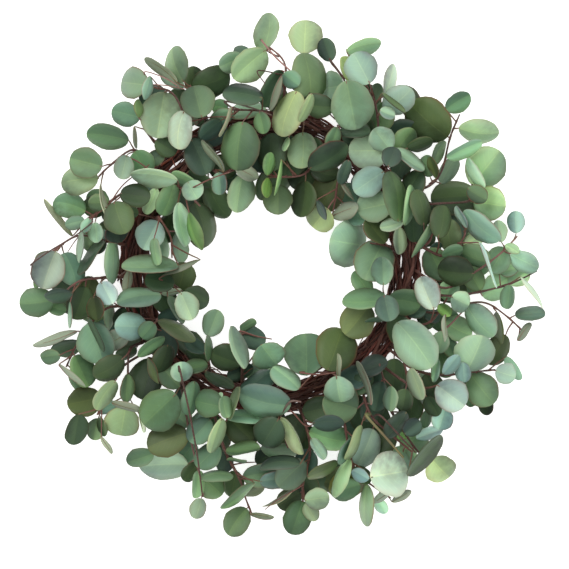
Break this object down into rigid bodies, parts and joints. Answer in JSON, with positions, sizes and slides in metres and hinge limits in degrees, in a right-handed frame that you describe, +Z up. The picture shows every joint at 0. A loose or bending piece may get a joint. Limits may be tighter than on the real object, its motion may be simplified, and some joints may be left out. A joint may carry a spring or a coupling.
{
  "type": "eucalyptus wreath",
  "caption": "Round wreath of leafy eucalyptus stems set in a ring of dark vine twigs, open in the middle, lying flat.",
  "frame": {"origin": "middle of the outline, on the surface the wreath lies on", "axes": "+Z up, out of the wreath's front face; +Y towards the top of the wreath as it hangs; +X to the right seen from the front"},
  "size_m": [0.5625, 0.5598, 0.1036],
  "materials": {
    "vine_bark": "dry bark, matt",
    "eucalyptus": "green leaves with a faint waxy bloom"
  },
  "bodies": {
    "root": {"vine_ring": "vine_bark", "sprig_01": "eucalyptus", "sprig_02": "eucalyptus", "sprig_03": "eucalyptus", "sprig_04": "eucalyptus", "sprig_05": "eucalyptus", "sprig_06": "eucalyptus", "sprig_07": "eucalyptus", "sprig_08": "eucalyptus", "sprig_09": "eucalyptus", "sprig_10": "eucalyptus", "sprig_11": "eucalyptus", "sprig_12": "eucalyptus", "sprig_13": "eucalyptus", "sprig_14": "eucalyptus", "sprig_15": "eucalyptus", "sprig_16": "eucalyptus", "sprig_17": "eucalyptus", "sprig_18": "eucalyptus", "sprig_19": "eucalyptus", "sprig_20": "eucalyptus", "sprig_21": "eucalyptus", "sprig_22": "eucalyptus", "sprig_23": "eucalyptus", "sprig_24": "eucalyptus", "sprig_25": "eucalyptus", "sprig_26": "eucalyptus", "sprig_27": "eucalyptus", "sprig_28": "eucalyptus", "sprig_29": "eucalyptus", "sprig_30": "eucalyptus", "sprig_31": "eucalyptus", "sprig_32": "eucalyptus", "sprig_33": "eucalyptus", "sprig_34": "eucalyptus", "sprig_35": "eucalyptus", "sprig_36": "eucalyptus", "sprig_37": "eucalyptus", "sprig_38": "eucalyptus", "sprig_39": "eucalyptus", "sprig_40": "eucalyptus", "sprig_41": "eucalyptus", "sprig_42": "eucalyptus", "sprig_43": "eucalyptus", "sprig_44": "eucalyptus", "sprig_45": "eucalyptus", "sprig_46": "eucalyptus", "sprig_47": "eucalyptus", "sprig_48": "eucalyptus", "sprig_49": "eucalyptus", "sprig_50": "eucalyptus", "sprig_51": "eucalyptus"}
  },
  "joints": []
}
